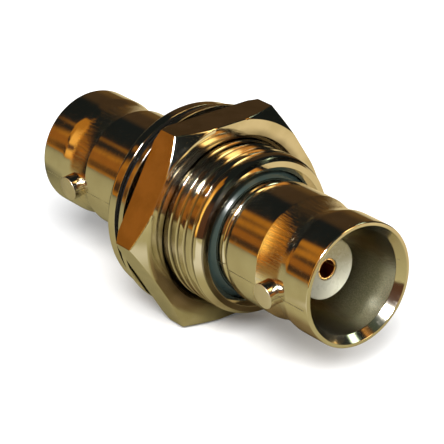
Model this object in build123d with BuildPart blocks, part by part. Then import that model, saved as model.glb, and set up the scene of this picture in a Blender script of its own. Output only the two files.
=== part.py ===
"""Insulated bulkhead adapter with a bayonet coaxial jack at each end.

The centre line runs along X, the front jack faces +X, and the adapter lies on the lowest
point of its lock washer. The origin is on that surface, under the middle of its length.
"""

import os
from math import cos, radians, sin, tan

from build123d import *

# Driving sizes of the whole adapter, in millimetres
overall_length = 33.5
fit_gap = 0.02  # between pieces that are pressed or screwed together
slip_gap = 0.03  # between the centre contact and what it slides into

# Both jacks
bore_radius = 4.06
jack_wall = 0.77
jack_edge = 0.12
mouth_rim = 0.3
lead_in_depth = 0.65
nose_length = 2.7
waist_length = 3.2
waist_depth = 0.27
cavity_depth = 8.4
lug_radius = 1.0
lug_height = 0.67
lug_station = 4.3
lug_edge = 0.15
lug_turn = 7.5

# Insulators and centre contact
insulator_radius = 2.39
insulator_setback = 3.47
collar_width = 0.71
collar_thickness = 1.0
contact_recess = 0.1
contact_tip_radius = 0.83
contact_tip_length = 6.0
contact_step = 0.27
contact_collar_width = 0.35
contact_collar_thickness = 1.0
socket_wall = 0.145
socket_depth = 5.0
socket_lead_in = 0.08
slot_width = 0.22
slot_length = 4.0

# Where the two shells join
floor_wall = 0.9
spigot_wall = 1.19
tube_wall = 0.92
tube_rim = 0.12
joint_gap = 0.65
counterbore_play = 0.05

# Threaded sleeve and its insulating bushes
bush_wall = 0.53
bush_cone = 0.33
bush_flange_width = 0.81
bush_flange_thickness = 0.4
front_bush_length = 4.6
sleeve_wall = 1.24  # up to the half-inch thread, which is plain in this model
sleeve_gap = 1.33
sleeve_length = 9.77
sleeve_mouth_width = 0.39
sleeve_mouth_depth = 0.43
thread_chamfer = 0.5
thread_relief_width = 0.5
thread_relief_depth = 0.35
flange_width = 1.45
flange_thickness = 1.05
flange_rear_edge = 0.35

# Gasket, lock washer and nut
gasket_width = 1.05
gasket_thickness = 0.65
gasket_play = 0.1
stack_play = 0.05
washer_rim = 0.75
washer_thickness = 0.5
washer_tooth_count = 10
washer_tooth_length = 0.8
washer_tooth_width = 1.7
washer_tooth_twist = 21.5
washer_tooth_root = 0.375
washer_thread_gap = 0.25
nut_wall = 1.5875  # from the thread to a flat, which are 15.875 across
nut_thickness = 2.9
nut_front_margin = 0.1125
nut_rear_margin = 0.8125
nut_chamfer_angle = 38.0
nut_thread_gap = 0.05
nut_countersink = 0.21

# Radii that follow from those sizes, from the centre outwards
socket_radius = contact_tip_radius - socket_wall
contact_radius = contact_tip_radius + contact_step
contact_collar_radius = contact_radius + contact_collar_width
insulator_bore = insulator_radius + fit_gap
collar_radius = insulator_radius + collar_width
spigot_radius = insulator_bore + spigot_wall
counterbore_radius = spigot_radius + fit_gap
tube_radius = counterbore_radius + tube_wall
tube_cone = tube_wall - tube_rim
bush_inner = tube_radius + fit_gap
bush_outer = bush_inner + bush_wall
bush_flange_radius = bush_outer + bush_flange_width
sleeve_bore = bush_outer + fit_gap
sleeve_mouth_radius = sleeve_bore + sleeve_mouth_width
thread_radius = sleeve_bore + sleeve_wall
jack_radius = bore_radius + jack_wall
lead_in_radius = jack_radius - mouth_rim
lug_reach = jack_radius + lug_height
lug_root = (bore_radius + jack_radius - waist_depth) / 2
flange_radius = thread_radius + flange_width
gasket_radius = thread_radius + gasket_play + gasket_width
tooth_tip = thread_radius + washer_thread_gap
washer_radius = tooth_tip + washer_tooth_length + washer_rim
nut_flat = thread_radius + nut_wall
nut_radius = nut_flat / cos(radians(30))
nut_bore = thread_radius + nut_thread_gap

# Places along the centre line that follow from those sizes
axis_height = washer_radius
front_mouth = overall_length / 2
rear_mouth = -front_mouth
shoulder_x = front_mouth - cavity_depth - floor_wall
tube_front = shoulder_x - joint_gap
spigot_end = collar_thickness
sleeve_front = shoulder_x - sleeve_gap
flange_rear = sleeve_front - sleeve_length
flange_front = flange_rear + flange_thickness
bush_front = sleeve_front - sleeve_mouth_depth
bush_joint = bush_front - front_bush_length
rear_shoulder = flange_rear - bush_flange_thickness
gasket_front = flange_front + gasket_thickness
tooth_height = (
    washer_thickness * cos(radians(washer_tooth_twist))
    + washer_tooth_width * sin(radians(washer_tooth_twist))
)
washer_middle = gasket_front + stack_play + tooth_height / 2
nut_rear = washer_middle + tooth_height / 2 + stack_play
nut_front = nut_rear + nut_thickness
contact_tip = front_mouth - insulator_setback - contact_recess
tip_step = contact_tip - contact_tip_length

centre_line = Axis((0, 0, axis_height), (1, 0, 0))
section = Plane((0, 0, axis_height), x_dir=(1, 0, 0), z_dir=(0, -1, 0))


def cross_section(x):
    """Plane across the centre line at x, facing the front jack, with Z of the part upwards."""
    return Plane((x, 0, axis_height), x_dir=(0, 1, 0), z_dir=(1, 0, 0))


def jack_outline(side):
    """Outside and inside lines of one jack, from its barrel round the mouth to the cavity floor.

    The side is 1 for the front jack and -1 for the rear one. The line starts at the rear end
    of the waist and stops where the insulator's bore opens into the cavity.
    """
    mouth = side * front_mouth
    nose_end = mouth - side * nose_length
    waist_end = nose_end - side * waist_length
    floor = mouth - side * cavity_depth
    ThreePointArc(
        (waist_end, jack_radius),
        ((nose_end + waist_end) / 2, jack_radius - waist_depth),
        (nose_end, jack_radius),
    )
    Polyline(
        (nose_end, jack_radius),
        (mouth - side * jack_edge, jack_radius),
        (mouth, jack_radius - jack_edge),
        (mouth, lead_in_radius),
        (mouth - side * lead_in_depth, bore_radius),
        (floor, bore_radius),
        (floor, insulator_bore),
    )
    return waist_end


def lug_plane(side, turn):
    """Plane that one bayonet lug stands out from, inside the wall of the waist."""
    outward = Vector(0, cos(radians(turn)), sin(radians(turn)))
    root = Vector(side * (front_mouth - lug_station), 0, axis_height) + outward * lug_root
    return Plane(root, x_dir=(1, 0, 0), z_dir=outward)


def lug_tips(part):
    """Edges round the flat ends of the lugs."""
    circles = part.edges().filter_by(GeomType.CIRCLE)
    round_lugs = circles.filter_by(lambda edge: abs(edge.radius - lug_radius) < lug_edge / 10)
    return round_lugs.filter_by(lambda edge: abs(edge.center().Y) > jack_radius)


# Front jack shell: turned jack with a spigot that screws into the rear shell's tube
with BuildPart() as front_jack_shell:
    with BuildSketch(section):
        with BuildLine():
            waist_end = jack_outline(1)
            Polyline(
                (waist_end, jack_radius),
                (shoulder_x, jack_radius),
                (shoulder_x, spigot_radius),
                (spigot_end, spigot_radius),
                (spigot_end, insulator_bore),
                (shoulder_x + floor_wall, insulator_bore),
            )
        make_face()
    revolve(axis=centre_line)
    with BuildSketch(lug_plane(1, lug_turn), lug_plane(1, lug_turn + 180)):
        Circle(lug_radius)
    extrude(amount=lug_reach - lug_root)
    chamfer(lug_tips(front_jack_shell), length=lug_edge)
front_jack_shell.part.label = "front_jack_shell"

# Rear jack shell: the same jack, with the long tube that carries everything through the sleeve
with BuildPart() as rear_jack_shell:
    with BuildSketch(section):
        with BuildLine():
            waist_end = jack_outline(-1)
            Polyline(
                (waist_end, jack_radius),
                (rear_shoulder, jack_radius),
                (rear_shoulder, tube_radius),
                (tube_front - tube_cone, tube_radius),
                (tube_front, tube_radius - tube_cone),
                (tube_front, counterbore_radius),
                (-collar_thickness - counterbore_play, counterbore_radius),
                (-collar_thickness - counterbore_play, insulator_bore),
                (rear_mouth + cavity_depth, insulator_bore),
            )
        make_face()
    revolve(axis=centre_line)
    with BuildSketch(lug_plane(-1, lug_turn), lug_plane(-1, lug_turn + 180)):
        Circle(lug_radius)
    extrude(amount=lug_reach - lug_root)
    chamfer(lug_tips(rear_jack_shell), length=lug_edge)
rear_jack_shell.part.label = "rear_jack_shell"

# Threaded sleeve: one turned piece with the flange that stops against the panel
with BuildPart() as threaded_sleeve:
    with BuildSketch(section) as profile:
        with BuildLine():
            Polyline(
                (flange_rear, sleeve_bore),
                (flange_rear, flange_radius),
                (flange_front, flange_radius),
                (flange_front, thread_radius - thread_relief_depth),
                (flange_front + thread_relief_width, thread_radius - thread_relief_depth),
                (flange_front + thread_relief_width + thread_relief_depth, thread_radius),
                (sleeve_front - thread_chamfer, thread_radius),
                (sleeve_front, thread_radius - thread_chamfer),
                (sleeve_front, sleeve_mouth_radius),
                (sleeve_front - sleeve_mouth_depth, sleeve_bore),
                close=True,
            )
        make_face()
        chamfer(profile.vertices().group_by(Axis.Y)[-1].sort_by(Axis.X)[0], length=flange_rear_edge)
    revolve(axis=centre_line)
threaded_sleeve.part.label = "threaded_sleeve"

# Front insulating bush: ring round the tube, coned where it shows inside the sleeve's mouth
with BuildPart() as front_insulating_bush:
    with BuildSketch(section):
        with BuildLine():
            Polyline(
                (bush_front, bush_outer),
                (bush_front + bush_cone, bush_inner),
                (bush_joint, bush_inner),
                (bush_joint, bush_outer),
                close=True,
            )
        make_face()
    revolve(axis=centre_line)
front_insulating_bush.part.label = "front_insulating_bush"

# Rear insulating bush: flanged ring that keeps the rear jack's shoulder off the sleeve
with BuildPart() as rear_insulating_bush:
    with BuildSketch(section):
        with BuildLine():
            Polyline(
                (bush_joint, bush_inner),
                (bush_joint, bush_outer),
                (flange_rear, bush_outer),
                (flange_rear, bush_flange_radius),
                (rear_shoulder, bush_flange_radius),
                (rear_shoulder, bush_inner),
                close=True,
            )
        make_face()
    revolve(axis=centre_line)
rear_insulating_bush.part.label = "rear_insulating_bush"

# Flange gasket: flat rubber ring against the flange's front face
with BuildPart() as flange_gasket:
    with BuildSketch(cross_section(flange_front)):
        Circle(gasket_radius)
        Circle(thread_radius + gasket_play, mode=Mode.SUBTRACT)
    extrude(amount=gasket_thickness)
flange_gasket.part.label = "flange_gasket"

# Lock washer: flat spring rim with inner teeth twisted out of its plane
with BuildPart() as lock_washer:
    with BuildSketch(cross_section(washer_middle - washer_thickness / 2)):
        Circle(washer_radius)
        Circle(washer_radius - washer_rim, mode=Mode.SUBTRACT)
    extrude(amount=washer_thickness)
    for index in range(washer_tooth_count):
        bearing = radians(360 / washer_tooth_count * (index + 0.5))
        outward = Vector(0, cos(bearing), sin(bearing))
        twisted = Vector(1, 0, 0).rotate(Axis((0, 0, 0), outward), washer_tooth_twist)
        tip = Vector(washer_middle, 0, axis_height) + outward * tooth_tip
        with BuildSketch(Plane(tip, x_dir=twisted, z_dir=outward)):
            Rectangle(washer_thickness, washer_tooth_width)
        extrude(amount=washer_tooth_length + washer_tooth_root)
lock_washer.part.label = "lock_washer"

# Hexagon nut: bar stock faced flat at the back and chamfered at the front
chamfer_slope = tan(radians(nut_chamfer_angle))
front_circle = nut_flat + nut_front_margin
rear_circle = nut_flat + nut_rear_margin
front_fall = (nut_radius - front_circle) * chamfer_slope
rear_fall = (nut_radius - rear_circle) * chamfer_slope
with BuildPart() as hex_nut:
    with BuildSketch(cross_section(nut_rear)):
        RegularPolygon(nut_flat, 6, major_radius=False)
    extrude(amount=nut_thickness)
    with BuildSketch(section):
        with BuildLine():
            Polyline(
                (nut_rear, nut_bore + nut_countersink),
                (nut_rear, rear_circle),
                (nut_rear + rear_fall, nut_radius),
                (nut_front - front_fall, nut_radius),
                (nut_front, front_circle),
                (nut_front, nut_bore + nut_countersink),
                (nut_front - nut_countersink, nut_bore),
                (nut_rear + nut_countersink, nut_bore),
                close=True,
            )
        make_face()
    revolve(axis=centre_line, mode=Mode.INTERSECT)
hex_nut.part.label = "hex_nut"


def insulator_outline(side):
    """Half section of one insulator, from its face in the cavity to the joint in the middle."""
    face = side * (front_mouth - insulator_setback)
    step = side * tip_step
    Polyline(
        (face, contact_tip_radius + slip_gap),
        (face, insulator_radius),
        (side * collar_thickness, insulator_radius),
        (side * collar_thickness, collar_radius),
        (0, collar_radius),
        (0, contact_collar_radius + slip_gap),
        (side * contact_collar_thickness / 2, contact_collar_radius + slip_gap),
        (side * contact_collar_thickness / 2, contact_radius + slip_gap),
        (step, contact_radius + slip_gap),
        (step, contact_tip_radius + slip_gap),
        close=True,
    )


# Front insulator: white sleeve round the contact, with a collar clamped between the shells
with BuildPart() as front_insulator:
    with BuildSketch(section):
        with BuildLine():
            insulator_outline(1)
        make_face()
    revolve(axis=centre_line)
front_insulator.part.label = "front_insulator"

# Rear insulator: the same piece turned end for end
with BuildPart() as rear_insulator:
    with BuildSketch(section):
        with BuildLine():
            insulator_outline(-1)
        make_face()
    revolve(axis=centre_line)
rear_insulator.part.label = "rear_insulator"

# Centre contact: one gold-plated pin with a slotted socket in each end
with BuildPart() as centre_contact:
    with BuildSketch(section):
        with BuildLine():
            Polyline(
                (0, 0),
                (contact_tip - socket_depth, 0),
                (contact_tip - socket_depth, socket_radius),
                (contact_tip - socket_lead_in, socket_radius),
                (contact_tip, socket_radius + socket_lead_in),
                (contact_tip, contact_tip_radius),
                (tip_step - slip_gap, contact_tip_radius),
                (tip_step - slip_gap, contact_radius),
                (contact_collar_thickness / 2, contact_radius),
                (contact_collar_thickness / 2, contact_collar_radius),
                (0, contact_collar_radius),
                close=True,
            )
        make_face()
    revolve(axis=centre_line)
    with BuildSketch(cross_section(contact_tip)):
        Rectangle(2 * contact_radius, slot_width)
        Rectangle(slot_width, 2 * contact_radius)
    extrude(amount=-slot_length, mode=Mode.SUBTRACT)
    mirror(about=Plane.YZ)
centre_contact.part.label = "centre_contact"

# One file for each piece
os.makedirs("parts", exist_ok=True)
export_step(front_jack_shell.part, "parts/front_jack_shell.step")
export_step(rear_jack_shell.part, "parts/rear_jack_shell.step")
export_step(threaded_sleeve.part, "parts/threaded_sleeve.step")
export_step(front_insulating_bush.part, "parts/front_insulating_bush.step")
export_step(rear_insulating_bush.part, "parts/rear_insulating_bush.step")
export_step(flange_gasket.part, "parts/flange_gasket.step")
export_step(lock_washer.part, "parts/lock_washer.step")
export_step(hex_nut.part, "parts/hex_nut.step")
export_step(front_insulator.part, "parts/front_insulator.step")
export_step(rear_insulator.part, "parts/rear_insulator.step")
export_step(centre_contact.part, "parts/centre_contact.step")
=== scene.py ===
"""Insulated bulkhead adapter with a bayonet coaxial jack at each end, lying on its side."""

from math import ceil, cos, pi, radians, sin, sqrt, tan

import bmesh
import bpy
from mathutils import Matrix, Vector


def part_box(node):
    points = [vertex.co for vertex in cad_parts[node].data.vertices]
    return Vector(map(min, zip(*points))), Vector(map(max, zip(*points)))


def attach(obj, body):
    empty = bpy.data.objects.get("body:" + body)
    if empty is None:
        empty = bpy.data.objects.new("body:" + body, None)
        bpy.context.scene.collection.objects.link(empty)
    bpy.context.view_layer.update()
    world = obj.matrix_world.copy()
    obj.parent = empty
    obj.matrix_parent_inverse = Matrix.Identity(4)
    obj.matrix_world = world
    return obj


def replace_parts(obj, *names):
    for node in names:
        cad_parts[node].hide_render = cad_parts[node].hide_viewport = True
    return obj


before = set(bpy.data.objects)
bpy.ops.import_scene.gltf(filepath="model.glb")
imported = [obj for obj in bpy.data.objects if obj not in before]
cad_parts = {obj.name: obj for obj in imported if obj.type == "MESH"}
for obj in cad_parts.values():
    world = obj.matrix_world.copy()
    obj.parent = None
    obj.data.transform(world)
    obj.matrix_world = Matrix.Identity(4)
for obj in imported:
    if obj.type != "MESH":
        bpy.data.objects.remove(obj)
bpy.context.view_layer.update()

# Centre contact: a turned pin of gold-plated copper alloy with a slotted socket in each end.
# It is pushed into the insulators from the middle, and its four spring fingers at each end
# grip the pin of a plug.

MM = 0.001
AXIS_HEIGHT = (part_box("centre_contact")[0].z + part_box("centre_contact")[1].z) / 2
CONTACT_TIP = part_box("centre_contact")[1].x
CONTACT_COLLAR = (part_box("centre_contact")[1].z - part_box("centre_contact")[0].z) / 2
FINGER_RADIUS = 0.83 * MM
SOCKET_RADIUS = 0.685 * MM
SOCKET_DEPTH = 5.0 * MM
FINGER_LENGTH = 6.03 * MM
SHANK_RADIUS = 1.1 * MM
COLLAR_HALF = 0.5 * MM
CONTACT_EDGE = 0.05 * MM
SOCKET_MIDDLE = 0.02 * MM
SLOT_WIDTH = 0.22 * MM
SLOT_TIP_WIDTH = 0.05 * MM
SLOT_LENGTH = 4.0 * MM


class Wire:
    """Value at a socket of a finish. Sums and products of wires add their Math nodes."""

    def __init__(self, finish, socket):
        self.finish = finish
        self.socket = socket

    def maths(self, operation, *values):
        inputs = dict(enumerate(values))
        return self.finish.node("ShaderNodeMath", {"operation": operation}, inputs)

    def __add__(self, other):
        return self.maths("ADD", self, other)

    def __radd__(self, other):
        return self.maths("ADD", other, self)

    def __sub__(self, other):
        return self.maths("SUBTRACT", self, other)

    def __rsub__(self, other):
        return self.maths("SUBTRACT", other, self)

    def __mul__(self, other):
        return self.maths("MULTIPLY", self, other)

    def __rmul__(self, other):
        return self.maths("MULTIPLY", other, self)

    def __truediv__(self, other):
        return self.maths("DIVIDE", self, other)

    def __pow__(self, other):
        return self.maths("POWER", self, other)

    def __neg__(self):
        return self.maths("MULTIPLY", self, -1)

    def __abs__(self):
        return self.maths("ABSOLUTE", self)


class Nodes:
    """Node tree to which shader maths and other nodes are added."""

    def __init__(self, tree):
        self.tree = tree

    def node(self, kind, settings, inputs, output=0):
        """Adds a node, with its settings made before its sockets are filled or linked."""
        made = self.tree.nodes.new(kind)
        for key, value in settings.items():
            setattr(made, key, value)
        for key, value in inputs.items():
            self.fill(made.inputs[key], value)
        return made if output is None else Wire(self, made.outputs[output])

    def fill(self, socket, value):
        if isinstance(value, Wire):
            self.tree.links.new(value.socket, socket)
        elif socket.type == "RGBA":
            socket.default_value = (*value, 1)
        else:
            socket.default_value = value

    def spread(self, value, low, high):
        """0 below low and 1 above high, with a smooth step between them."""
        inputs = {"Value": value, "From Min": low, "From Max": high}
        return self.node("ShaderNodeMapRange", {"interpolation_type": "SMOOTHSTEP"}, inputs)

    def mix(self, factor, first, second):
        inputs = {0: factor, 6: first, 7: second}
        return self.node("ShaderNodeMix", {"data_type": "RGBA"}, inputs, 2)

    def bump(self, height, distance, strength=1.0, below=None):
        inputs = {"Height": height, "Distance": distance, "Strength": strength}
        if below is not None:
            inputs["Normal"] = below
        return self.node("ShaderNodeBump", {}, inputs)


class Finish(Nodes):
    """Procedural material round one Principled shader."""

    def __init__(self, name):
        self.material = bpy.data.materials.new(name)
        self.material.use_nodes = True
        super().__init__(self.material.node_tree)
        self.shader = self.tree.nodes["Principled BSDF"]
        self.object_place = self.node("ShaderNodeTexCoord", {}, {}, "Object")
        split = self.node("ShaderNodeSeparateXYZ", {}, {0: self.object_place}, None)
        self.x = Wire(self, split.outputs["X"])
        self.y = Wire(self, split.outputs["Y"])
        self.z = Wire(self, split.outputs["Z"]) - AXIS_HEIGHT
        self.radius = (self.y * self.y + self.z * self.z) ** 0.5
        self.turn = self.node("ShaderNodeMath", {"operation": "ARCTAN2"}, {0: self.z, 1: self.y})

    def noise(self, scale, detail=2.0, roughness=0.5, place=None, dimensions="3D"):
        socket = "W" if dimensions == "1D" else "Vector"
        place = self.object_place if place is None else place
        inputs = {socket: place, "Scale": scale, "Detail": detail, "Roughness": roughness}
        return self.node("ShaderNodeTexNoise", {"noise_dimensions": dimensions}, inputs)

    def stretched(self, x_scale, turn_scale, radius_scale):
        """Place on a turned surface, as lengths along the axis, round it and outwards."""
        parts = {"X": self.x * x_scale, "Y": self.turn * turn_scale, "Z": self.radius * radius_scale}
        return self.node("ShaderNodeCombineXYZ", {}, parts)

    def feed(self, name):
        """What feeds a socket of the shader so far."""
        return Wire(self, self.shader.inputs[name].links[0].from_socket)

    def set(self, **sockets):
        for name, value in sockets.items():
            self.fill(self.shader.inputs[name.replace("_", " ")], value)
        return self.material


def rounded(corners, arc_steps=5, closed=True):
    """Outline through corners (x, r, rounding), with an arc and its end loops where rounded."""
    outline = []
    count = len(corners)
    for index, (x, r, rounding) in enumerate(corners):
        here = Vector((x, r))
        if rounding == 0 or (not closed and index in (0, count - 1)):
            outline.append(here)
            continue
        before = Vector(corners[index - 1][:2]) - here
        after = Vector(corners[(index + 1) % count][:2]) - here
        bend = before.angle(after)
        reach = rounding / tan(bend / 2)
        into, out = before.normalized(), after.normalized()
        centre = here + (into + out).normalized() * (rounding / sin(bend / 2))
        start = here + into * reach - centre
        end = here + out * reach - centre
        sweep = start.angle(end)
        margin = 0.3 * rounding
        if before.length > reach + 2 * margin:
            outline.append(here + into * (reach + margin))
        for step in range(arc_steps + 1):
            part = step / arc_steps
            blend = (start * sin((1 - part) * sweep) + end * sin(part * sweep)) / sin(sweep)
            outline.append(centre + blend)
        if after.length > reach + 2 * margin:
            outline.append(here + out * (reach + margin))
    return outline


def mesh_piece(name, points, faces, material, sharp_from=radians(28), smooth=True):
    """Object from points and faces, with edges sharper than the given angle split in shading."""
    made = bmesh.new()
    verts = [made.verts.new(point) for point in points]
    for face in faces:
        made.faces.new([verts[index] for index in face])
    bmesh.ops.remove_doubles(made, verts=made.verts, dist=0.0005 * MM)
    bmesh.ops.recalc_face_normals(made, faces=made.faces)
    for face in made.faces:
        face.smooth = smooth
    for edge in made.edges:
        if len(edge.link_faces) == 2 and edge.calc_face_angle() > sharp_from:
            edge.smooth = False
    mesh = bpy.data.meshes.new(name)
    made.to_mesh(mesh)
    made.free()
    piece = bpy.data.objects.new(name, mesh)
    bpy.context.scene.collection.objects.link(piece)
    mesh.materials.append(material)
    return piece


def on_axis(x, radius, turn):
    """Point at a radius and turn round the centre line, the turn counted from +Y towards +Z."""
    return Vector((x, radius * cos(turn), AXIS_HEIGHT + radius * sin(turn)))


def ring_faces(rings, steps, closed=True):
    """Faces between rings of points. Where closed, the last ring is joined to the first."""
    faces = []
    for ring in range(rings if closed else rings - 1):
        after = (ring + 1) % rings
        for step in range(steps):
            beside = (step + 1) % steps
            faces.append((ring * steps + step, ring * steps + beside,
                          after * steps + beside, after * steps + step))
    return faces


def lathe(outline, steps):
    """Points and faces of a closed outline turned about the centre line."""
    points = []
    for x, r in outline:
        points += [on_axis(x, r, 2 * pi * step / steps) for step in range(steps)]
    return points, ring_faces(len(outline), steps)


def gold_plate():
    """Gold over copper alloy with faint wear, and painted shade, darker and redder, in the socket bores.
    """
    finish = Finish("gold_plate")
    cloud = finish.noise(2600, 3)
    # painted shade: darker and redder in the socket bores and on their inner rims
    deep = finish.spread(SOCKET_RADIUS * 1.06 - finish.radius, 0, 0.03 * MM)
    gold = finish.mix(cloud, (0.95, 0.66, 0.27), (0.84, 0.52, 0.19))
    shade = finish.mix(deep, gold, (0.75, 0.28, 0.14))
    rings = finish.noise(60000, 2, place=finish.radius, dimensions="1D")
    return finish.set(
        Base_Color=shade,
        Metallic=1.0,
        Roughness=0.24 + cloud * 0.14,
        Normal=finish.bump(rings, 0.004 * MM, 0.6),
    )


def contact_outline():
    """Half outline of the contact from the middle of one socket floor to the other."""
    floor = CONTACT_TIP - SOCKET_DEPTH
    step = CONTACT_TIP - FINGER_LENGTH
    half = [
        (floor, SOCKET_MIDDLE, 0),
        (floor, SOCKET_RADIUS, 0),
        (CONTACT_TIP, SOCKET_RADIUS, CONTACT_EDGE),
        (CONTACT_TIP, FINGER_RADIUS, CONTACT_EDGE),
        (step, FINGER_RADIUS, 0),
        (step, SHANK_RADIUS, CONTACT_EDGE),
        (COLLAR_HALF, SHANK_RADIUS, 0),
        (COLLAR_HALF, CONTACT_COLLAR, CONTACT_EDGE),
    ]
    return half + [(-x, r, rounding) for x, r, rounding in reversed(half)]


def slotted(piece, side):
    """Cuts a crossed pair of slots into one end, the fingers then closed in towards the tip."""
    cutters = bmesh.new()
    past_tip, reach = 1 * MM, 2 * MM
    tip, root = CONTACT_TIP + past_tip, CONTACT_TIP - SLOT_LENGTH
    for across in (Vector((0, 1, 0)), Vector((0, 0, 1))):
        along = across.cross(Vector((1, 0, 0))) * reach
        corners = []
        for x, width in ((root, SLOT_WIDTH), (tip, SLOT_TIP_WIDTH)):
            for span, edge in ((-1, -1), (-1, 1), (1, 1), (1, -1)):
                offset = along * span + across * (edge * width / 2)
                corners.append(cutters.verts.new(Vector((side * x, 0, AXIS_HEIGHT)) + offset))
        for face in ((0, 1, 2, 3), (7, 6, 5, 4), (0, 4, 5, 1), (1, 5, 6, 2), (2, 6, 7, 3), (3, 7, 4, 0)):
            cutters.faces.new([corners[index] for index in face])
    bmesh.ops.recalc_face_normals(cutters, faces=cutters.faces)
    mesh = bpy.data.meshes.new("slot_cutter")
    cutters.to_mesh(mesh)
    cutters.free()
    cutter = bpy.data.objects.new("slot_cutter", mesh)
    bpy.context.scene.collection.objects.link(cutter)
    cut = piece.modifiers.new("slots", "BOOLEAN")
    cut.operation = "DIFFERENCE"
    cut.use_self = True
    cut.object = cutter
    apply_modifiers(piece)
    bpy.data.objects.remove(cutter)


def apply_modifiers(piece):
    """Replaces the mesh of a piece by the one that its modifiers make."""
    bpy.context.view_layer.update()
    seen = piece.evaluated_get(bpy.context.evaluated_depsgraph_get())
    mesh = bpy.data.meshes.new_from_object(seen)
    piece.modifiers.clear()
    old = piece.data
    piece.data = mesh
    bpy.data.meshes.remove(old)


contact_points, contact_faces = lathe(rounded(contact_outline(), arc_steps=4), steps=96)
contact = mesh_piece("gold_contact", contact_points, contact_faces, gold_plate())
slotted(contact, 1)
slotted(contact, -1)
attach(contact, "adapter")
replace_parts(contact, "centre_contact")

# Insulators: two sleeves of white PTFE that hold the contact in the middle of each jack.
# Their collars meet in the middle of the adapter, and their faces stand back from the mouths.

INSULATOR_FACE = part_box("front_insulator")[1].x
INSULATOR_RADIUS = 2.39 * MM
COLLAR_RADIUS = (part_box("front_insulator")[1].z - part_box("front_insulator")[0].z) / 2
COLLAR_LENGTH = 1.0 * MM
CONTACT_GAP = 0.03 * MM


def insulator_plastic():
    """White PTFE: waxy, faintly creamy, with soft turning rings on its face, and painted shade that turns
    it khaki and darker towards the top.
    """
    finish = Finish("insulator_plastic")
    cloud = finish.noise(900, 4, 0.6)
    spots = finish.noise(3800, 2)
    rings = finish.noise(14000, 2, place=finish.radius, dimensions="1D")
    # painted shade: khaki and darker towards the top
    painted_top_shade = finish.spread(finish.z, -1.4 * MM, 1.6 * MM)
    colour = finish.mix(cloud, (0.50, 0.49, 0.40), (0.45, 0.44, 0.35))
    colour = finish.mix(painted_top_shade, colour, (0.36, 0.31, 0.17))
    return finish.set(
        Base_Color=colour,
        Roughness=0.22 + cloud * 0.12,
        Subsurface_Weight=0.25,
        Subsurface_Radius=(1.0 * MM, 0.8 * MM, 0.6 * MM),
        Subsurface_Scale=0.6,
        Normal=finish.bump(spots, 0.012 * MM, 0.5, finish.bump(rings, 0.006 * MM, 0.5)),
    )


def insulator(name, side, material):
    """One insulator, its bore stepped round the contact."""
    step = CONTACT_TIP - FINGER_LENGTH + CONTACT_GAP
    half = [
        (INSULATOR_FACE, FINGER_RADIUS + CONTACT_GAP, 0.06 * MM),
        (INSULATOR_FACE, INSULATOR_RADIUS, 0.16 * MM),
        (COLLAR_LENGTH, INSULATOR_RADIUS, 0),
        (COLLAR_LENGTH, COLLAR_RADIUS, 0.08 * MM),
        (0, COLLAR_RADIUS, 0),
        (0, CONTACT_COLLAR + CONTACT_GAP, 0),
        (COLLAR_HALF, CONTACT_COLLAR + CONTACT_GAP, 0),
        (COLLAR_HALF, SHANK_RADIUS + CONTACT_GAP, 0),
        (step, SHANK_RADIUS + CONTACT_GAP, 0),
        (step, FINGER_RADIUS + CONTACT_GAP, 0),
    ]
    corners = [(side * x, r, rounding) for x, r, rounding in half]
    points, faces = lathe(rounded(corners), steps=128)
    piece = mesh_piece(name, points, faces, material)
    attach(piece, "adapter")
    return piece


white = insulator_plastic()
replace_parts(insulator("front_white_insulator", 1, white), "front_insulator")
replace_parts(insulator("rear_white_insulator", -1, white), "rear_insulator")

# Jack shells: cast and turned, nickel plated. The rear one has the tube that the bushes and
# the sleeve sit on, and the front one is pressed into it by its spigot. Each has a waist with
# two round lugs, a polished lead-in at the mouth and a matt bore.

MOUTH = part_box("front_jack_shell")[1].x
SHOULDER = 7.45 * MM
SPIGOT_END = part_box("front_jack_shell")[0].x
TUBE_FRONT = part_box("rear_jack_shell")[1].x
JACK_RADIUS = 4.83 * MM
BORE_RADIUS = 4.06 * MM
LEAD_IN_RADIUS = 4.53 * MM
LEAD_IN_DEPTH = 0.65 * MM
WAIST_FRONT = 2.5 * MM
WAIST_DEEPEST = 4.0 * MM
WAIST_REAR = 5.9 * MM
WAIST_DEPTH = 0.235 * MM
WAIST_LEVELLING = 2.8
WAIST_SOFT_END = 0.28
WAIST_ROWS = 34
CAVITY_DEPTH = 8.4 * MM
SPIGOT_RADIUS = 3.6 * MM
TUBE_RADIUS = 4.54 * MM
TUBE_ROUND = 0.35 * MM
TUBE_ROUND_STEPS = 10
COUNTERBORE_FACE = -1.05 * MM
REAR_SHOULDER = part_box("rear_insulating_bush")[0].x
FIT_GAP = 0.02 * MM
LUG_RADIUS = 1.0 * MM
LUG_REACH = 5.5 * MM
LUG_BACK = 4.3 * MM
LUG_TURN = radians(7.5)
LUG_EDGE = 0.05 * MM
LUG_ROOT_DEPTH = 0.03 * MM


def nickel(name, colour=(0.75, 0.71, 0.63), dark=(0.68, 0.63, 0.54), roughness=0.07, grain=1.0):
    """Bright nickel plate with fine turning rings, faint clouding and a slight swell."""
    finish = Finish(name)
    cloud = finish.noise(420, 3, 0.5)
    rings = finish.noise(9000, 3, 0.6, place=finish.x, dimensions="1D")
    streaks = finish.noise(1.0, 3, 0.6, place=finish.stretched(2600, 9, 700))
    tone = finish.spread(cloud, 0.35, 0.65)
    swell = finish.noise(520, 1)
    shape = finish.bump(swell, 0.004 * MM, 0.6)
    finish.set(
        Base_Color=finish.mix(tone, colour, dark),
        Metallic=1.0,
        Roughness=roughness + tone * 0.03 + finish.spread(streaks, 0.5, 0.75) * 0.07,
        Normal=finish.bump(rings + streaks, 0.0007 * MM * grain, 0.8, shape),
    )
    return finish


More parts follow.
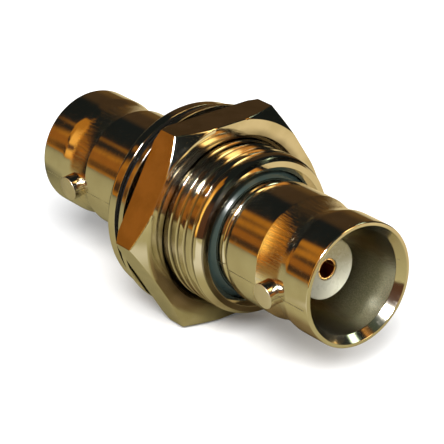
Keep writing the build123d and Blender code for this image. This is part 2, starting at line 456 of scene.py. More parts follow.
def jack_nickel():
    """Plate of the jacks: bright outside with a seam, matt in the bore, and in the waist
    brassy scoring, with a painted brown reflection in a band just above the lugs' height."""
    finish = nickel("jack_nickel", roughness=0.09, grain=1.3)
    back = MOUTH - abs(finish.x)
    out = abs(finish.y * cos(LUG_TURN) + finish.z * sin(LUG_TURN))
    lug_end = finish.spread(out, LUG_REACH - 0.06 * MM, LUG_REACH - 0.02 * MM)
    inside = finish.spread(BORE_RADIUS + 0.1 * MM - finish.radius, 0, 0.06 * MM)
    deep = finish.spread(back, LEAD_IN_DEPTH - 0.05 * MM, LEAD_IN_DEPTH + 0.07 * MM)
    matt = inside * deep
    speckle = finish.noise(11000, 3, 0.6)
    scoring = finish.noise(1.0, 4, 0.7, place=finish.stretched(420, 26, 0))
    band = finish.spread(back, WAIST_DEEPEST - 0.7 * MM, WAIST_DEEPEST - 0.2 * MM)
    band = band * finish.spread(WAIST_REAR - 0.02 * MM - back, 0, 0.05 * MM)
    band = band * (1 - inside) * finish.spread(LUG_REACH - 0.6 * MM - finish.radius, 0, 0.02 * MM)
    scored = band * finish.spread(scoring, 0.45, 0.60)
    seam_turn = abs(finish.node("ShaderNodeMath", {"operation": "WRAP"},
                                {0: finish.turn - LUG_TURN, 1: pi / 2, 2: -pi / 2}))
    wander = finish.noise(900, 2, place=finish.x, dimensions="1D") * 0.012
    seam = (1 - finish.spread(seam_turn + wander, 0.006, 0.020)) * (1 - inside)
    seam = seam * finish.spread(back, 0.3 * MM, 0.6 * MM) * (1 - lug_end)
    seam = seam * finish.spread(finish.noise(400, 1), 0.30, 0.45)
    # painted reflection: a brown band round the waist just above the lugs' height
    brown = band * finish.spread(-finish.z, -2.4 * MM, -1.5 * MM) * finish.spread(finish.z, 0, 0.8 * MM)
    scored_and_painted_brown = finish.mix(scored * 0.75, finish.feed("Base Color"), (0.98, 0.82, 0.50))
    scored_and_painted_brown = finish.mix(brown * 0.85, scored_and_painted_brown, (0.44, 0.22, 0.07))
    marked = finish.mix(seam * 0.6, scored_and_painted_brown, (0.26, 0.23, 0.17))
    dull = finish.mix(finish.spread(speckle, 0.42, 0.60), (0.40, 0.39, 0.31), (0.58, 0.56, 0.46))
    rough = finish.feed("Roughness") * (1 - matt) + matt * 0.24
    height = (scoring - 0.5) * band + (speckle - 0.5) * matt * 0.27 - seam * 0.5
    return finish.set(
        Base_Color=finish.mix(matt, marked, dull),
        Roughness=rough + band * 0.03 + seam * 0.2 + lug_end * 0.3,
        Normal=finish.bump(height, 0.035 * MM, 0.9, finish.feed("Normal")),
    )


def waist_radius(back):
    """Outside radius of a jack at a distance behind its mouth. The waist falls from a sharp edge
    on the barrel, ever less steeply, and rises to the nose in an even slope with soft ends."""
    if back >= WAIST_REAR or back <= WAIST_FRONT:
        return JACK_RADIUS
    if back > WAIST_DEEPEST:
        share = (WAIST_REAR - back) / (WAIST_REAR - WAIST_DEEPEST)
        return JACK_RADIUS - WAIST_DEPTH * (1 - (1 - share) ** WAIST_LEVELLING)
    share = (back - WAIST_FRONT) / (WAIST_DEEPEST - WAIST_FRONT)
    slope = 1 / (1 - WAIST_SOFT_END)
    if share < WAIST_SOFT_END:
        eased = slope * share * share / (2 * WAIST_SOFT_END)
    elif share > 1 - WAIST_SOFT_END:
        eased = 1 - slope * (1 - share) ** 2 / (2 * WAIST_SOFT_END)
    else:
        eased = slope * (share - WAIST_SOFT_END / 2)
    return JACK_RADIUS - WAIST_DEPTH * eased


def jack_front():
    """Outline of a jack from the barrel over the waist and the mouth to the cavity floor,
    given as distance behind the mouth and radius."""
    waist = [(WAIST_REAR, JACK_RADIUS, 0.2 * MM)]
    for row in range(1, WAIST_ROWS + 1):
        back = WAIST_REAR + (WAIST_FRONT - WAIST_REAR) * row / WAIST_ROWS
        waist.append((back, waist_radius(back), 0))
    return waist + [
        (0, JACK_RADIUS, 0.11 * MM),
        (0, LEAD_IN_RADIUS, 0.05 * MM),
        (LEAD_IN_DEPTH, BORE_RADIUS, 0.1 * MM),
        (CAVITY_DEPTH, BORE_RADIUS, 0.12 * MM),
        (CAVITY_DEPTH, INSULATOR_RADIUS + FIT_GAP, 0),
    ]


def lug(side, turn):
    """Points and faces of one lug: a pin rising from the waist, its end flat with a broken edge."""
    steps, edge_rings, end_ring = 64, 5, 0.45
    middle = side * (MOUTH - LUG_BACK)
    outward = Vector((0, cos(turn), sin(turn)))
    across = Vector((0, -sin(turn), cos(turn)))
    rings = [(LUG_RADIUS, None)]
    for ring in range(edge_rings):
        angle = pi / 2 * ring / (edge_rings - 1)
        rings.append((LUG_RADIUS - LUG_EDGE * (1 - cos(angle)), LUG_REACH - LUG_EDGE * (1 - sin(angle))))
    rings.append((end_ring * LUG_RADIUS, LUG_REACH))
    points = []
    for reach, height in rings:
        for step in range(steps):
            angle = 2 * pi * step / steps
            along, aside = reach * cos(angle), reach * sin(angle)
            if height is None:
                surface = waist_radius(LUG_BACK - side * along)
                tall = sqrt(surface * surface - aside * aside) - LUG_ROOT_DEPTH
            else:
                tall = height
            points.append(Vector((middle + along, 0, AXIS_HEIGHT)) + across * aside + outward * tall)
    root, end = range(steps), range((len(rings) - 1) * steps, len(rings) * steps)
    faces = [tuple(reversed(root))] + ring_faces(len(rings), steps, closed=False) + [tuple(end)]
    return points, faces


def add_shape(points, faces, shape):
    """Adds the points and faces of a shape to those of a piece."""
    start = len(points)
    more_points, more_faces = shape
    points += more_points
    faces += [tuple(start + index for index in face) for face in more_faces]


def jack(name, side, behind, material):
    """One jack shell: the shared front and what lies behind it, turned, with two lugs."""
    corners = [(side * (MOUTH - back), r, rounding) for back, r, rounding in jack_front()]
    points, faces = lathe(rounded(corners + behind), steps=224)
    for turn in (LUG_TURN, LUG_TURN + pi):
        add_shape(points, faces, lug(side, turn))
    piece = mesh_piece(name, points, faces, material)
    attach(piece, "adapter")
    return piece


plate = jack_nickel()
rear_behind = [
    (COUNTERBORE_FACE, INSULATOR_RADIUS + FIT_GAP, 0),
    (COUNTERBORE_FACE, SPIGOT_RADIUS + FIT_GAP, 0),
    (TUBE_FRONT, SPIGOT_RADIUS + FIT_GAP, 0),
]
for step in range(TUBE_ROUND_STEPS + 1):
    off = pi / 2 * (1 - step / TUBE_ROUND_STEPS)
    x = TUBE_FRONT - TUBE_ROUND * (1 - sin(off))
    rear_behind.append((x, TUBE_RADIUS - TUBE_ROUND * (1 - cos(off)), 0))
rear_behind += [
    (REAR_SHOULDER, TUBE_RADIUS, 0),
    (REAR_SHOULDER, JACK_RADIUS, 0.06 * MM),
]
front_behind = [
    (SPIGOT_END, INSULATOR_RADIUS + FIT_GAP, 0),
    (SPIGOT_END, SPIGOT_RADIUS, 0.1 * MM),
    (SHOULDER, SPIGOT_RADIUS, 0.05 * MM),
    (SHOULDER, JACK_RADIUS, 0.035 * MM),
]
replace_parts(jack("rear_jack", -1, rear_behind, plate), "rear_jack_shell")
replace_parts(jack("front_jack", 1, front_behind, plate), "front_jack_shell")

# Insulating bushes: two grey-green moulded rings that keep the tube off the threaded sleeve.
# The front one shows as a coned ring in the sleeve's mouth, the rear one has a thin flange.

BUSH_INNER = 4.56 * MM
BUSH_OUTER = 5.09 * MM
BUSH_FACE = 5.3 * MM
BUSH_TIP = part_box("front_insulating_bush")[1].x
BUSH_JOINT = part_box("front_insulating_bush")[0].x
BUSH_FLANGE_RADIUS = (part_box("rear_insulating_bush")[1].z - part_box("rear_insulating_bush")[0].z) / 2
FLANGE_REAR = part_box("threaded_sleeve")[0].x


def bush_plastic():
    """Moulded plastic, grey green, glossy with a little flow marking."""
    finish = Finish("bush_plastic")
    flow = finish.noise(1.0, 3, 0.6, place=finish.stretched(900, 4, 900))
    grain = finish.noise(8000, 2)
    return finish.set(
        Base_Color=finish.mix(flow, (0.016, 0.028, 0.026), (0.030, 0.044, 0.040)),
        Roughness=0.16 + flow * 0.12,
        Normal=finish.bump(grain, 0.002 * MM, 0.5),
    )


def bush(name, corners, material):
    points, faces = lathe(rounded(corners), steps=160)
    piece = mesh_piece(name, points, faces, material)
    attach(piece, "adapter")
    return piece


green = bush_plastic()
front_ring = [
    (BUSH_FACE, BUSH_OUTER, 0),
    (BUSH_TIP, BUSH_INNER, 0.05 * MM),
    (BUSH_JOINT, BUSH_INNER, 0),
    (BUSH_JOINT, BUSH_OUTER, 0),
]
rear_ring = [
    (BUSH_JOINT, BUSH_INNER, 0),
    (BUSH_JOINT, BUSH_OUTER, 0),
    (FLANGE_REAR, BUSH_OUTER, 0),
    (FLANGE_REAR, BUSH_FLANGE_RADIUS, 0.05 * MM),
    (REAR_SHOULDER, BUSH_FLANGE_RADIUS, 0.08 * MM),
    (REAR_SHOULDER, BUSH_INNER, 0),
]
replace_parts(bush("front_bush", front_ring, green), "front_insulating_bush")
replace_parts(bush("rear_bush", rear_ring, green), "rear_insulating_bush")

# Threaded sleeve: turned from bar with a flange at its rear, then threaded and nickel plated.
# The thread is half-inch with 28 turns to the inch, and it runs out in a relief at the flange.

SLEEVE_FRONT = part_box("threaded_sleeve")[1].x
FLANGE_RADIUS = (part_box("threaded_sleeve")[1].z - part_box("threaded_sleeve")[0].z) / 2
FLANGE_THICKNESS = 1.05 * MM
FLANGE_FRONT = FLANGE_REAR + FLANGE_THICKNESS
FLANGE_ROUND = 0.35 * MM
THREAD_RADIUS = 6.35 * MM
THREAD_PITCH = 0.907 * MM
THREAD_CREST = 0.57 * MM
THREAD_ROOT = 0.04 * MM
THREAD_DEPTH = 0.26 * MM
THREAD_END_FALL = 0.4 * MM
THREAD_END_LENGTH = 0.7 * MM
THREAD_START_SLOPE = 1.7
RELIEF_RADIUS = 5.8 * MM
RELIEF_LENGTH = 0.7 * MM
RELIEF_END = FLANGE_FRONT + RELIEF_LENGTH
SLEEVE_BORE = 5.11 * MM
SLEEVE_MOUTH_RADIUS = 5.5 * MM
SLEEVE_MOUTH_DEPTH = 0.43 * MM
SLEEVE_STEPS = 240


def thread_turn():
    """Outline of one turn of the thread, from the middle of a crest to the middle of the next.
    The crest's rear edge is the rounder one."""
    middle = THREAD_PITCH / 2
    low = THREAD_RADIUS - THREAD_DEPTH
    return rounded([
        (0, THREAD_RADIUS, 0),
        (THREAD_CREST / 2, THREAD_RADIUS, 0.025 * MM),
        (middle - THREAD_ROOT / 2, low, 0.02 * MM),
        (middle + THREAD_ROOT / 2, low, 0.02 * MM),
        (THREAD_PITCH - THREAD_CREST / 2, THREAD_RADIUS, 0.05 * MM),
        (THREAD_PITCH, THREAD_RADIUS, 0),
    ], arc_steps=3, closed=False)


def thread_sheet():
    """Points and faces of the thread, its rows running round along the helix. The rows past
    either end of the thread are gathered in the ring there."""
    steps = SLEEVE_STEPS
    outline = thread_turn()[:-1]
    count = len(outline)
    turns = ceil((SLEEVE_FRONT - RELIEF_END) / THREAD_PITCH) + 1
    points = []
    for turn_index in range(turns + 2):
        begin = SLEEVE_FRONT + (turn_index - turns) * THREAD_PITCH
        for place in outline:
            for step in range(steps):
                x = begin + place.x + THREAD_PITCH * step / steps
                x = min(max(x, RELIEF_END), SLEEVE_FRONT)
                into_end = (x - SLEEVE_FRONT) / THREAD_END_LENGTH + 1
                chamfer = THREAD_RADIUS - THREAD_END_FALL * into_end
                start = RELIEF_RADIUS + (x - RELIEF_END) * THREAD_START_SLOPE
                points.append(on_axis(x, min(place.y, chamfer, start), 2 * pi * step / steps))
    faces = []
    for row in range(turns * count):
        for step in range(steps):
            wraps = step == steps - 1
            beside = (row + count) * steps if wraps else row * steps + step + 1
            faces.append((row * steps + step, beside, beside + steps, (row + 1) * steps + step))
    return points, faces


def sleeve_nickel():
    """Plate of the sleeve, with a painted highlight along the rear edge of the thread's crest,
    and painted shade darkening its groove."""
    finish = nickel("sleeve_nickel", roughness=0.04, grain=0.5)
    along = (finish.x - SLEEVE_FRONT) / THREAD_PITCH - finish.turn / (2 * pi)
    phase = finish.node("ShaderNodeMath", {"operation": "FRACT"}, {0: along})
    rear_edge = 1 - THREAD_CREST / 2 / THREAD_PITCH
    fade = 0.1 * MM
    threaded = finish.spread(finish.x, RELIEF_END, RELIEF_END + fade)
    threaded = threaded * finish.spread(finish.radius, SLEEVE_MOUTH_RADIUS, SLEEVE_MOUTH_RADIUS + fade)
    edge = threaded * (1 - finish.spread(abs(phase - rear_edge), 0.010, 0.030))
    # painted shade: darker in the groove between the crests
    groove = threaded * (1 - finish.spread(abs(phase - 0.5), 0.10, 0.17))
    # painted highlight: a bright line along the rear edge of each crest
    crest_edge_highlight = edge * (0.35 + 0.5 * finish.spread(finish.noise(900, 2), 0.40, 0.65))
    grooves_darkened = finish.mix(groove * 0.8, finish.feed("Base Color"), (0.12, 0.10, 0.07))
    return finish.set(
        Base_Color=finish.mix(crest_edge_highlight, grooves_darkened, (0.97, 0.95, 0.90)),
        Roughness=finish.feed("Roughness") + crest_edge_highlight * 0.10 + groove * 0.1,
    )


def sleeve():
    """The sleeve as one turned outline, with the thread's sheet in place of its threaded part."""
    outline = rounded([
        (SLEEVE_FRONT - SLEEVE_MOUTH_DEPTH, SLEEVE_BORE, 0.03 * MM),
        (FLANGE_REAR, SLEEVE_BORE, 0),
        (FLANGE_REAR, FLANGE_RADIUS, FLANGE_ROUND),
        (FLANGE_FRONT, FLANGE_RADIUS, 0.035 * MM),
        (FLANGE_FRONT, RELIEF_RADIUS, 0.08 * MM),
        (RELIEF_END, RELIEF_RADIUS, 0),
        (SLEEVE_FRONT, THREAD_RADIUS - THREAD_END_FALL, 0),
        (SLEEVE_FRONT, SLEEVE_MOUTH_RADIUS, 0.03 * MM),
    ], arc_steps=7)
    last_plain = next(ring for ring, place in enumerate(outline) if abs(place.x - RELIEF_END) < 1e-9)
    points, faces = lathe(outline, SLEEVE_STEPS)
    del faces[last_plain * SLEEVE_STEPS:(last_plain + 1) * SLEEVE_STEPS]
    add_shape(points, faces, thread_sheet())
    piece = mesh_piece("threaded_body", points, faces, sleeve_nickel(), sharp_from=radians(40))
    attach(piece, "adapter")
    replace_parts(piece, "threaded_sleeve")


sleeve()

# Flange gasket: a black rubber ring, die-cut from sheet, that seals the panel hole. It lies on
# the flange's front face and bulges slightly at its rim.

GASKET_REAR, GASKET_FRONT = (corner.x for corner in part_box("flange_gasket"))
GASKET_RADIUS = (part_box("flange_gasket")[1].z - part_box("flange_gasket")[0].z) / 2
GASKET_BORE = 6.45 * MM


def gasket_rubber():
    """Black rubber, dull, with dust specks and a fine skin."""
    finish = Finish("gasket_rubber")
    cloud = finish.noise(1200, 4, 0.6)
    specks = finish.spread(finish.noise(6500, 1), 0.70, 0.74)
    colour = finish.mix(cloud, (0.006, 0.006, 0.007), (0.012, 0.012, 0.011))
    grain = finish.noise(9000, 3)
    return finish.set(
        Base_Color=finish.mix(specks, colour, (0.12, 0.11, 0.10)),
        Roughness=0.7 + cloud * 0.2,
        Specular_IOR_Level=0.05,
        Normal=finish.bump(grain, 0.02 * MM, 0.6),
    )


gasket_outline = rounded([
    (GASKET_REAR, GASKET_BORE, 0.05 * MM),
    (GASKET_REAR, GASKET_RADIUS, 0.16 * MM),
    (GASKET_FRONT, GASKET_RADIUS, 0.16 * MM),
    (GASKET_FRONT, GASKET_BORE, 0.05 * MM),
])
gasket_points, gasket_faces = lathe(gasket_outline, steps=160)
gasket = mesh_piece("rubber_gasket", gasket_points, gasket_faces, gasket_rubber())
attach(gasket, "adapter")
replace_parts(gasket, "flange_gasket")

# Lock washer: stamped from spring steel and plated. Its inner teeth are twisted out of the
# plane of the rim, so that they bite into the nut and the panel.

WASHER_LOW, WASHER_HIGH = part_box("lock_washer")
WASHER_MIDDLE = (WASHER_LOW.x + WASHER_HIGH.x) / 2
WASHER_RADIUS = (WASHER_HIGH.z - WASHER_LOW.z) / 2
WASHER_RIM = 0.75 * MM
WASHER_THICKNESS = 0.5 * MM
TOOTH_COUNT = 10
TOOTH_WIDTH = 1.7 * MM
TOOTH_TWIST = radians(21.5)
TOOTH_TIP = 6.6 * MM
TOOTH_BEVEL = 0.06 * MM
TOOTH_TWIST_RATE = 1.5
TOOTH_FLARE = 0.22
TOOTH_FLARE_RATE = 2.2
TOOTH_ROWS = 9


def tooth(bearing):
    """Points and faces of one tooth: a strip from inside the rim, flared at its root and
    twisted more and more over its first two thirds."""
    outward = Vector((0, cos(bearing), sin(bearing)))
    across = Vector((0, -sin(bearing), cos(bearing)))
    root = WASHER_RADIUS - WASHER_RIM / 2
    bevel = TOOTH_BEVEL
    half_width, half_thick = TOOTH_WIDTH / 2, WASHER_THICKNESS / 2
    outline = [
        (half_width - bevel, half_thick), (half_width, half_thick - bevel),
        (half_width, bevel - half_thick), (half_width - bevel, -half_thick),
        (bevel - half_width, -half_thick), (-half_width, bevel - half_thick),
        (-half_width, half_thick - bevel), (bevel - half_width, half_thick),
    ]
    points = []
    for row in range(TOOTH_ROWS):
        share = row / (TOOTH_ROWS - 1)
        radius = root + (TOOTH_TIP - root) * share
        twist = TOOTH_TWIST * min(1, share * TOOTH_TWIST_RATE)
        flare = 1 + TOOTH_FLARE * max(0, 1 - share * TOOTH_FLARE_RATE) ** 2
        for width, thick in outline:
            aside = width * flare
            x = thick * cos(twist) - aside * sin(twist)
            y = thick * sin(twist) + aside * cos(twist)
            points.append(Vector((WASHER_MIDDLE + x, 0, AXIS_HEIGHT)) + across * y + outward * radius)
    count = len(outline)
    tip = range(len(points) - count, len(points))
    ends = [tuple(range(count)), tuple(reversed(tip))]
    return points, ends + ring_faces(TOOTH_ROWS, count, closed=False)


def washer():
    """Rim and teeth in one piece."""
    front = WASHER_MIDDLE + WASHER_THICKNESS / 2
    rear = WASHER_MIDDLE - WASHER_THICKNESS / 2
    inner = WASHER_RADIUS - WASHER_RIM
    points, faces = lathe(rounded([
        (rear, inner, 0.05 * MM),
        (rear, WASHER_RADIUS, 0.06 * MM),
        (front, WASHER_RADIUS, 0.025 * MM),
        (front, inner, 0.05 * MM),
    ], arc_steps=4), steps=240)
    for index in range(TOOTH_COUNT):
        add_shape(points, faces, tooth(2 * pi * (index + 0.5) / TOOTH_COUNT))
    finish = nickel("washer_plate", colour=(0.78, 0.75, 0.68), dark=(0.66, 0.62, 0.55), roughness=0.11)
    piece = mesh_piece("toothed_washer", points, faces, finish.material)
    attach(piece, "washer")
    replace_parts(piece, "lock_washer")


washer()

# Hexagon nut: cut from hexagon bar, drilled, threaded, faced and chamfered on both sides, then
# nickel plated. It clamps the washer and the panel against the gasket.

NUT_LOW, NUT_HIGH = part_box("hex_nut")
NUT_REAR, NUT_FRONT = NUT_LOW.x, NUT_HIGH.x
NUT_FLAT = (NUT_HIGH.z - NUT_LOW.z) / 2
NUT_POINT = NUT_FLAT / cos(pi / 6)
NUT_FRONT_CIRCLE = 8.05 * MM
NUT_REAR_CIRCLE = 8.75 * MM
NUT_SLOPE = tan(radians(38))
NUT_CORNER = 0.03 * MM
NUT_CORNER_EASE = 2.4
NUT_CORNER_LOOPS = (-0.5, -0.3, -0.1, 0.1, 0.3, 0.5)
NUT_EDGE = 0.05 * MM
NUT_SOFTNESS = 0.04 * MM
NUT_BORE_EDGE = 0.02 * MM
NUT_COUNTERSINK_RADIUS = 6.8 * MM
NUT_THREAD_GAP = 0.05 * MM
NUT_THREAD_SHARE = 0.82


def thread_height(x, turn):
    """Share of the thread's depth at a place, 1 on the crest and 0 in the root."""
    phase = ((x - SLEEVE_FRONT) / THREAD_PITCH - turn / (2 * pi)) % 1
    off_root = abs(phase - 0.5) * THREAD_PITCH
    flank = (THREAD_PITCH - THREAD_CREST - THREAD_ROOT) / 2
    return min(max((off_root - THREAD_ROOT / 2) / flank, 0), 1)


def soft_least(first, second, width):
    """The lesser of two lengths, eased over a width where they cross."""
    share = max(width - abs(first - second), 0) / width
    return min(first, second) - share * share * width / 4


def hexagon_radius(turn):
    """Radius of the hexagon at a turn, its flats facing up and down, its corners rounded."""
    off = (turn - pi / 2 + pi / 6) % (pi / 3) - pi / 6
    eased = NUT_CORNER * (1 / cos(pi / 6) - 1)
    return soft_least(NUT_FLAT / cos(off), NUT_POINT - eased, NUT_CORNER_EASE * eased)


def nut_radius(x, turn):
    """Outside radius of the nut: its flats, cut by the chamfers in front and behind."""
    front = NUT_FRONT_CIRCLE + (NUT_FRONT - x) / NUT_SLOPE
    rear = NUT_REAR_CIRCLE + (x - NUT_REAR) / NUT_SLOPE
    side = soft_least(hexagon_radius(turn), front, NUT_SOFTNESS)
    return soft_least(side, rear, NUT_SOFTNESS)


def nut_face_radius(x, turn, share):
    """Radius on a face of the nut, at a share of the way from the countersink to the edge."""
    edge = nut_radius(x, turn) - NUT_EDGE
    return NUT_COUNTERSINK_RADIUS + (edge - NUT_COUNTERSINK_RADIUS) * share


def nut_bore_radius(x, turn):
    """Radius of the nut's own thread, opened by a countersink at each face."""
    depth = THREAD_DEPTH * NUT_THREAD_SHARE * (1 - thread_height(x, turn))
    countersink = NUT_COUNTERSINK_RADIUS - min(NUT_FRONT - x, x - NUT_REAR)
    return max(THREAD_RADIUS + NUT_THREAD_GAP - depth, countersink)


def nut_nickel():
    """Plate of the nut, with painted shade darkening its bore and a ragged ring round the hole."""
    finish = nickel("nut_nickel", dark=(0.62, 0.58, 0.47))
    patches = finish.noise(700, 2)
    # painted shade: darker in the bore and round the hole, with a ragged edge
    painted_bore_shade = 1 - finish.spread(finish.radius + patches * 0.5 * MM, 6.9 * MM, 7.7 * MM)
    return finish.set(
        Base_Color=finish.mix(painted_bore_shade * 0.75, finish.feed("Base Color"), (0.16, 0.13, 0.09)),
        Roughness=finish.feed("Roughness") + painted_bore_shade * 0.05,
    )


def spaced(start, end, rows):
    """Places from start to end, both of them included."""
    return [start + (end - start) * row / rows for row in range(rows + 1)]


def nut():
    """The nut as rings round the centre line: rear face, chamfers and flats, front face, bore."""
    rear_spare, front_spare = 1.15, 1.12
    rear_fall = (NUT_POINT - NUT_REAR_CIRCLE) * NUT_SLOPE * rear_spare
    front_fall = (NUT_POINT - NUT_FRONT_CIRCLE) * NUT_SLOPE * front_spare
    rear_edge, front_edge = NUT_REAR + NUT_EDGE, NUT_FRONT - NUT_EDGE
    sides = spaced(rear_edge, rear_edge + rear_fall, rows=14)
    sides += spaced(front_edge - front_fall, front_edge, rows=36)
    inside = spaced(NUT_FRONT - NUT_BORE_EDGE, NUT_REAR + NUT_BORE_EDGE, rows=64)
    shares = spaced(0, 1, rows=4)
    turns = [radians(step) for step in range(360)]
    turns += [radians(corner + off) for corner in range(0, 360, 60) for off in NUT_CORNER_LOOPS]
    turns.sort()
    rings = [[(NUT_REAR, nut_face_radius(NUT_REAR, turn, share)) for turn in turns] for share in shares]
    rings += [[(x, nut_radius(x, turn)) for turn in turns] for x in sides]
    rings += [[(NUT_FRONT, nut_face_radius(NUT_FRONT, turn, 1 - share)) for turn in turns]
              for share in shares]
    rings += [[(x, nut_bore_radius(x, turn)) for turn in turns] for x in inside]
    points = [on_axis(x, r, turn) for ring in rings for (x, r), turn in zip(ring, turns)]
    faces = ring_faces(len(rings), len(turns))
    piece = mesh_piece("hexagon_nut", points, faces, nut_nickel(), sharp_from=radians(32))
    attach(piece, "nut")
    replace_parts(piece, "hex_nut")


nut()

# Studio: a plain white floor under soft light, seen from the front and right by a long lens. The
# plate mirrors a warm room: an orange wall on the left, brown ones behind, and windows of light.

FLOOR_SIZE = 1.2


def floor_finish():
    """White paper that keeps the soft shadow of the part. Mirrors see it in a painted
    warm tone instead, with painted pools of light behind and in front of the part,
    a painted shadow beneath the front jack and painted darkness far beyond the rear jack.
    """
    finish = Finish("paper")
    path = finish.node("ShaderNodeLightPath", {}, {}, None)
    camera_ray = Wire(finish, path.outputs["Is Camera Ray"])
    glossy_ray = Wire(finish, path.outputs["Is Glossy Ray"])
    white = finish.mix(finish.noise(900, 3), (0.85, 0.85, 0.85), (0.87, 0.87, 0.87))
    away = finish.node("ShaderNodeVectorMath", {"operation": "LENGTH"}, {0: finish.object_place}, "Value")
    bearing = finish.node("ShaderNodeMath", {"operation": "ARCTAN2"}, {0: finish.y, 1: finish.x})
    # painted light: a lighter, warmer pool behind the part, seen only in mirrors
    behind = finish.spread(finish.y, 4 * MM, 26 * MM)
    # painted light: a lighter pool in front of the part, seen only in mirrors
    front = finish.spread(-finish.y, 10 * MM, 18 * MM) * finish.spread(finish.x, 2 * MM, 6 * MM)
    front = front * finish.spread(-finish.x, -22 * MM, -13 * MM)
    # painted shadow: darker brown beneath the front jack, seen only in mirrors
    painted_shadow_under = finish.spread(finish.x, 3 * MM, 6 * MM) * finish.spread(-finish.x, -21 * MM, -13 * MM)
    painted_shadow_under = painted_shadow_under * finish.spread(finish.y, -8 * MM, -4 * MM) * finish.spread(-finish.y, -9 * MM, -4 * MM)
    # painted darkness far beyond the rear jack, seen only in mirrors
    dark = finish.spread(away, 0.02, 0.035) * finish.spread(radians(-157) - bearing, -0.08, 0.08)
    # painted reflection: the warm tone that mirrors see on the floor
    warm = finish.mix(behind, (0.27, 0.235, 0.110), (0.47, 0.37, 0.19))
    warm = finish.mix(front, warm, (0.47, 0.43, 0.30))
    warm = finish.mix(painted_shadow_under, warm, (0.15, 0.105, 0.045))
    warm = finish.mix(dark, warm, (0.012, 0.0145, 0.013))
    glow = finish.mix(finish.spread(away, 0.03, 0.09), (0.05, 0.05, 0.05), (1, 1, 1))
    return finish.set(
        Base_Color=finish.mix(glossy_ray, white, warm),
        Roughness=0.9,
        Specular_IOR_Level=0.0,
        Emission_Color=finish.mix(camera_ray, (0, 0, 0), glow),
        Emission_Strength=1.0,
    )


half = FLOOR_SIZE / 2
floor_corners = [(-half, -half, 0), (half, -half, 0), (half, half, 0), (-half, half, 0)]
floor = mesh_piece("paper_floor", floor_corners, [(0, 1, 2, 3)], floor_finish(), smooth=False)


def soft_lamp(name, bearing, height, distance, size, power, colour):
    """Square soft box at a bearing and height in degrees, facing the part."""
    data = bpy.data.lights.new(name, "AREA")
    data.shape = "RECTANGLE"
    data.size, data.size_y = size
    data.energy = power
    data.color = colour
    lamp = bpy.data.objects.new(name, data)
    bpy.context.scene.collection.objects.link(lamp)
    level = distance * cos(radians(height))
    lamp.location = (level * cos(radians(bearing)), level * sin(radians(bearing)),
                     AXIS_HEIGHT + distance * sin(radians(height)))
    aim = Vector((0, 0, AXIS_HEIGHT)) - lamp.location
    lamp.rotation_euler = aim.to_track_quat("-Z", "Y").to_euler()
    return lamp


white_lamp = soft_lamp("white_lamp", -42, 45, 0.5, (0.085, 0.10), 4.2, (1, 1, 0.97))
floor_only = bpy.data.collections.new("floor_only")
floor_only.objects.link(floor)
floor_lamp = soft_lamp("floor_lamp", -42, 45, 0.5, (0.24, 0.24), 4.0, (1, 1, 1))
floor_lamp.light_linking.receiver_collection = floor_only
low_floor_lamp = soft_lamp("low_floor_lamp", 8, 36, 0.5, (0.20, 0.20), 1.7, (1, 1, 1))
low_floor_lamp.light_linking.receiver_collection = floor_only
all_but_floor = bpy.data.collections.new("all_but_floor")
all_but_floor.objects.link(floor)
all_but_floor.collection_objects[0].light_linking.link_state = "EXCLUDE"
white_lamp.light_linking.receiver_collection = all_but_floor

ROOM_BASE = (0.012, 0.0145, 0.013)
ROOM_PARTS = [
    # bearing from, to, height from, to, softness, lean of the bearing per degree, colour
    (112, 157, -12, 62, 5, 0, (0.066, 0.038, 0.0165)),  # brown wall behind
    (110, 150, -12, 14, 7, 0, (0.135, 0.072, 0.021)),  # lighter foot of it
    (-161, -98, -9, 70, 3, 0.12, (0.50, 0.185, 0.018)),  # orange wall on the left
    (-126, -96, 2, 58, 6, 0, (1.15, 0.54, 0.085)),  # brighter part of it
    (-110, -92, 4, 50, 6, 0, (1.9, 1.12, 0.23)),  # brightest edge of it
    (-127, -110, 13, 21, 2.5, 0, (0.10, 0.04, 0.02)),  # dark patches on it
    (-142, -125, 2, 26.5, 2.5, 0, (0.060, 0.030, 0.0125)),
    (-200, -147, 17, 33, 2.5, 0, (0.016, 0.016, 0.013)),
    (-160, -122, 10.5, 19.5, 2.5, 0, (0.34, 0.115, 0.015)),  # dull orange band across them
    (-98, -50, -2, 42, 7, 0, (0.11, 0.045, 0.02)),  # brown wall left of the camera
    (-48, -5, -14, 24, 4, 0, (0.50, 0.18, 0.025)),  # orange wall behind the camera
    (-48, -5, -14, 4, 5, 0, (0.13, 0.058, 0.018)),  # brown foot of it
    (68, 88, 42, 56, 3, 0, (3.0, 3.7, 2.6)),  # high window on the right
    (-66, 16, 52, 74, 6, 0, (0.060, 0.078, 0.048)),  # dim ceiling over the camera
    (20, 46, 12, 64, 4, 0, (1.0, 0.42, 0.08)),  # orange frame of the next window
    (22, 34, 12, 60, 3, 0, (3.4, 2.5, 1.0)),  # tall window on the right
]


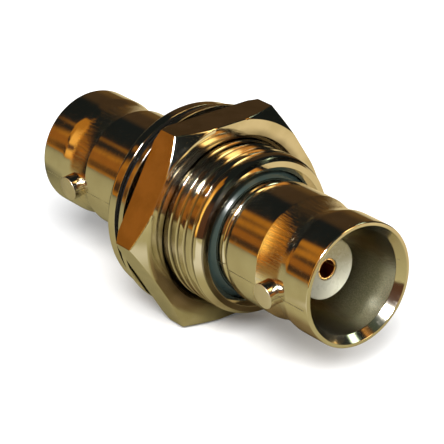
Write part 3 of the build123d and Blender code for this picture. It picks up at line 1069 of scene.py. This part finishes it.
def surroundings():
    """World: white to the camera, a soft dome for matt surfaces, and the warm room for mirrors."""
    world = bpy.data.worlds.new("room")
    bpy.context.scene.world = world
    world.use_nodes = True
    world.cycles.sampling_method = "NONE"
    world.node_tree.nodes.clear()
    room = Nodes(world.node_tree)
    place = room.node("ShaderNodeTexCoord", {}, {}, "Generated")
    split = room.node("ShaderNodeSeparateXYZ", {}, {0: place}, None)
    x, y, z = (Wire(room, split.outputs[axis]) for axis in "XYZ")
    bearing = room.node("ShaderNodeMath", {"operation": "ARCTAN2"}, {0: y, 1: x}) * (180 / pi)
    height = room.node("ShaderNodeMath", {"operation": "ARCSINE"}, {0: z}) * (180 / pi)
    colour = ROOM_BASE
    for start, end, low, high, soft, lean, tone in ROOM_PARTS:
        along = bearing - height * lean if lean else bearing
        across = room.spread(along, start - soft, start + soft) * room.spread(end - along, -soft, soft)
        upward = room.spread(height, low - soft, low + soft) * room.spread(high - height, -soft, soft)
        colour = room.mix(across * upward, colour, tone)
    path = room.node("ShaderNodeLightPath", {}, {}, None)
    glossy_ray = Wire(room, path.outputs["Is Glossy Ray"])
    camera_ray = Wire(room, path.outputs["Is Camera Ray"])
    mirrored = room.node("ShaderNodeBackground", {}, {"Color": colour, "Strength": 1.0})
    dome = room.node("ShaderNodeBackground", {}, {"Color": (1, 1, 1), "Strength": 0.36})
    white = room.node("ShaderNodeBackground", {}, {"Color": (1, 1, 1), "Strength": 1.0})
    others = room.node("ShaderNodeMixShader", {}, {0: glossy_ray, 1: dome, 2: mirrored})
    chosen = room.node("ShaderNodeMixShader", {}, {0: camera_ray, 1: others, 2: white})
    room.node("ShaderNodeOutputWorld", {}, {"Surface": chosen}, None)


surroundings()

CAMERA_PLACE = Vector((0.12859, -0.09521, 0.08234))
CAMERA_FORWARD = Vector((-0.72629, 0.54027, -0.42498))
CAMERA_UP = Vector((-0.32079, 0.28040, 0.90469))
SENSOR_WIDTH = 36
LENS = 186.36
camera_data = bpy.data.cameras.new("camera")
camera_data.sensor_width = SENSOR_WIDTH
camera_data.lens = LENS
camera = bpy.data.objects.new("camera", camera_data)
bpy.context.scene.collection.objects.link(camera)
right = CAMERA_FORWARD.cross(CAMERA_UP).normalized()
upright = right.cross(CAMERA_FORWARD).normalized()
turned_to = Matrix((right, upright, -CAMERA_FORWARD.normalized())).transposed()
camera.matrix_world = Matrix.Translation(CAMERA_PLACE) @ turned_to.to_4x4()
bpy.context.scene.camera = camera
bpy.context.scene.view_settings.view_transform = "Standard"
